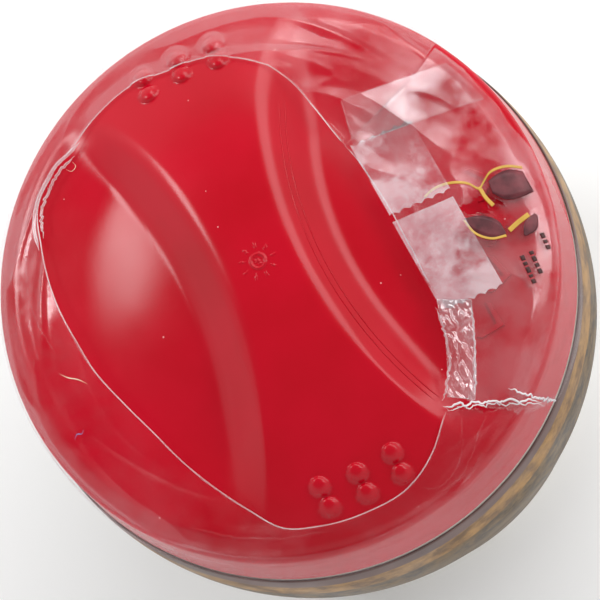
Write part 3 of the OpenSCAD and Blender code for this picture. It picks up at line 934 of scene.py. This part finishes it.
def tub():
    outer = wall_points(0, 3.0, LEDGE_Z - 0.6)
    inner = wall_points(-1.1, 5.2, LEDGE_Z - 2.0)
    foot = outer[0][0]
    profile = [(0.01, 2.0), (20, 2.0), (20.4, 1.7), (24, 1.7), (24.4, 2.0), (foot - 5.2, 2.0)]
    profile += arc(foot - 3.2, 1.0, 1.0, 180, 270, 6)[1:] + arc(foot - 2.6, 2.4, 2.4, 270, 352, 8)
    profile += outer
    top = outer[-1][0]
    profile += [(top - 0.4, LEDGE_Z - 0.15), (top - 1.2, LEDGE_Z)]
    profile += [(NECK_R + 0.5, LEDGE_Z), (NECK_R, LEDGE_Z + 0.5)]
    profile += [(NECK_R, RIM_Z - 2.9), (NECK_R + 0.35, RIM_Z - 2.4), (NECK_R + 0.7, RIM_Z - 1.9)]
    profile += [(NECK_R + 0.7, RIM_Z - 0.6), (NECK_R + 0.5, RIM_Z - 0.15), (NECK_R + 0.1, RIM_Z)]
    profile += [(NECK_R - 0.8, RIM_Z), (NECK_R - 1.05, RIM_Z - 0.2), (NECK_R - 1.1, RIM_Z - 0.6)]
    profile += [(NECK_R - 1.1, LEDGE_Z - 0.2), (NECK_R - 0.6, LEDGE_Z - 1.4)]
    profile += [(inner[-1][0] - 1.2, LEDGE_Z - 1.7)]
    profile += inner[::-1]
    profile += arc(inner[0][0] - 2.0, 5.2, 2.0, 0, -90, 7)[1:] + [(20, 3.2), (0.01, 3.2)]
    return make_piece("tub_body", *revolve(profile, 300), "tub", "tub_plastic", TUB, ["tub"])


def sleeve():
    low, high = box_mm("body_sleeve")[0][2], box_mm("body_sleeve")[1][2]
    outer = wall_points(0.36, low + 0.1, high - 0.1, 40)
    inner = wall_points(0.02, low, high, 40)
    profile = inner[::-1] + [(inner[0][0] + 0.2, low)] + outer + [(outer[-1][0] - 0.15, high)]
    turned = revolve(profile, 360)
    return make_piece("printed_sleeve", *turned, "tub", "printed_film", SLEEVE, ["body_sleeve"])


def foil():
    low = box_mm("foil_seal")[0][2]
    radius = box_mm("foil_seal")[1][1]
    rings = np.concatenate([np.linspace(0.5, 48, 60), np.linspace(48.4, radius, 24)])
    steps = 360
    theta = np.linspace(0, 2 * math.pi, steps, endpoint=False)
    rr, tt = np.meshgrid(rings, theta, indexing="ij")
    x, y = rr * np.cos(tt), rr * np.sin(tt)
    dip = 0.12 * lumps(x, y, 0.06, 0.06, 1.0) * smoothstep(50.0, 40.0, rr)
    on_rim = smoothstep(50.6, 51.2, rr) * smoothstep(53.4, 53.0, rr)
    knurl = 0.05 * np.cos(tt * 120) * np.cos((rr - 52) * 4.0) * on_rim
    z = low + 0.2 + dip + knurl
    grid = np.stack([x, y, z], axis=-1)
    points, faces = thin_sheet(grid.reshape(-1, 3), len(rings), steps, 0.1, wrap=True)
    # a flat cap on each side closes the sheet's middle, in place of the hole's wall
    under = len(points) // 2
    faces = [f for f in faces if not all(i % under < steps for i in f)]
    faces += [tuple(range(steps)), tuple(under + i for i in reversed(range(steps)))]
    make_piece("foil_disc", points, faces, "foil", "foil", FOIL, ["foil_seal"])
    columns, rows = 40, 40
    u, v = np.meshgrid(np.linspace(0, 1, columns), np.linspace(-1, 1, rows))
    half = 8.5 * np.sqrt(np.clip(1 - (1 - np.minimum(u * 1.6, 1.0)) ** 2, 0.02, 1))
    tab_x = 38.2 + u * (radius - 39.2)
    tab_y = v * half
    tab_z = low + 0.42 + 0.12 * np.abs(lumps(tab_x, tab_y, 0.3, 0.3, 2.0))
    tab = np.stack([tab_x, tab_y, tab_z], axis=-1).reshape(-1, 3)
    make_piece("foil_pull_tab", *thin_sheet(tab, rows, columns, 0.08), "foil", "foil", FOIL)


def spoon():
    (_, low_y, low_z), (high_x, high_y, high_z) = box_mm("spoon")
    half_w, bowl_len = high_x - 0.2, 36.0
    rim = high_z - 0.15
    centre_y = low_y + bowl_len / 2
    columns, rows = 130, 60
    u, v = np.meshgrid(np.linspace(0, 1, columns), np.linspace(-1, 1, rows))
    y = low_y + 0.15 + u * (high_y - low_y - 0.3)
    t = (y - centre_y) / (bowl_len / 2)
    bowl_half = half_w * np.sqrt(np.clip(1 - t * t, 0.0, 1.0)) * (1 - 0.08 * t)
    end = (high_y - y) / 6.0
    rounding = np.sqrt(np.clip(1 - np.clip(1 - end, 0, 1) ** 2, 0.0, 1))
    handle_half = (3.6 + 2.2 * smoothstep(0, 44, y)) * rounding
    on_handle = smoothstep(0.55, 1.1, t)
    width = np.maximum(bowl_half, handle_half * smoothstep(0.3, 0.9, t))
    width = np.maximum(width, 0.25)
    x = v * width
    d2 = (x / half_w) ** 2 + np.minimum(t, 1.2) ** 2
    bowl = -(high_z - low_z - 1.2) * np.clip(1 - d2, 0, 1) ** 0.8 * (t < 1.2)
    channel = -0.9 * on_handle * smoothstep(1.0, 0.55, np.abs(v)) * smoothstep(high_y - 1.5, high_y - 7.0, y)
    z = rim - 0.5 + bowl + channel
    points = np.stack([x, y, z], axis=-1).reshape(-1, 3)
    sheet = thin_sheet(points, rows, columns, 1.0)
    return make_piece("spoon_body", *sheet, "spoon", "spoon_plastic", SPOON, ["spoon"])


lid_shell()
chevrons()
main_film()
flap_film()
tapes()
crumpled_strip()
opening_edge()
flank_lines()
torn_edges()
fold_creases()
print_marks()
small_marks()
tub()
sleeve()
foil()
spoon()


# ---------------------------------------------------------------- floor, lights and camera
def floor():
    mesh = bpy.data.meshes.new("floor")
    build = bmesh.new()
    bmesh.ops.create_grid(build, x_segments=8, y_segments=8, size=3.0)
    build.to_mesh(mesh)
    build.free()
    made = bpy.data.objects.new("floor", mesh)
    bpy.context.scene.collection.objects.link(made)
    material, tree, shader = new_material("pale_floor")
    shader.inputs["Base Color"].default_value = (0.96, 0.96, 0.96, 1)
    shader.inputs["Roughness"].default_value = 0.9
    mesh.materials.append(material)


def area_light(name, place, target, size, power, colour=(1, 1, 1)):
    data = bpy.data.lights.new(name, "AREA")
    data.shape = "RECTANGLE"
    data.size, data.size_y = size
    data.energy = power
    data.color = colour
    made = bpy.data.objects.new(name, data)
    bpy.context.scene.collection.objects.link(made)
    made.location = place
    made.rotation_mode = "QUATERNION"
    made.rotation_quaternion = (Vector(target) - Vector(place)).to_track_quat("-Z", "Y")


def camera():
    """The main view: almost straight down on the lid."""
    azimuth, elevation, roll = math.radians(21.2), math.radians(74.5), math.radians(45.8)
    distance, lens = 0.7, 210.9
    flat = math.cos(elevation)
    back = Vector((math.sin(azimuth) * flat, -math.cos(azimuth) * flat, math.sin(elevation)))
    data = bpy.data.cameras.new("camera")
    data.lens, data.sensor_width = lens, 36.0
    made = bpy.data.objects.new("camera", data)
    bpy.context.scene.collection.objects.link(made)
    up = (Vector((0, 0, 1)) - back * back.z).normalized()
    right = up.cross(back)
    turned_right = right * math.cos(roll) - up * math.sin(roll)
    turned_up = up * math.cos(roll) + right * math.sin(roll)
    aim = Vector((0, 0, LID_Z * MM)) + turned_right * 0.00153 - turned_up * 0.00117
    turn = Matrix((turned_right, turned_up, back)).transposed().to_4x4()
    made.matrix_world = Matrix.Translation(aim + back * distance) @ turn
    data.clip_start, data.clip_end = 0.01, 20.0
    bpy.context.scene.camera = made


def softbox(name, azimuth, elevation, width, height, radiance):
    """A soft light that faces the lid, with its angles in degrees and its size in metres."""
    distance = 1.2
    a, e = math.radians(azimuth), math.radians(elevation)
    centre = Vector((0, 0, LID_Z * MM))
    place = centre + distance * Vector((math.cos(a) * math.cos(e), math.sin(a) * math.cos(e), math.sin(e)))
    area_light(name, place, centre, (width, height), math.pi * width * height * radiance)


def sky():
    """A pale surround that darkens overhead, so that the glossy top shows clean reflections."""
    world = bpy.data.worlds.new("studio")
    world.use_nodes = True
    tree = world.node_tree
    place = add_node(tree, "ShaderNodeTexCoord").outputs["Generated"]
    height = add_node(tree, "ShaderNodeSeparateXYZ", {0: place}).outputs["Z"]
    strength = span_value(tree, height, 0.5, 0.68, 1.1, 0.35)
    tree.links.new(strength, tree.nodes["Background"].inputs["Strength"])
    tree.nodes["Background"].inputs["Color"].default_value = (1, 1, 1, 1)
    bpy.context.scene.world = world


floor()
softbox("broad_light", 29, 41, 2.0, 0.47, 4.5)
softbox("key_light", 136, 42, 0.44, 0.26, 14.0)
sky()
bpy.context.scene.view_settings.view_transform = "Standard"
camera()

bpy.context.view_layer.update()
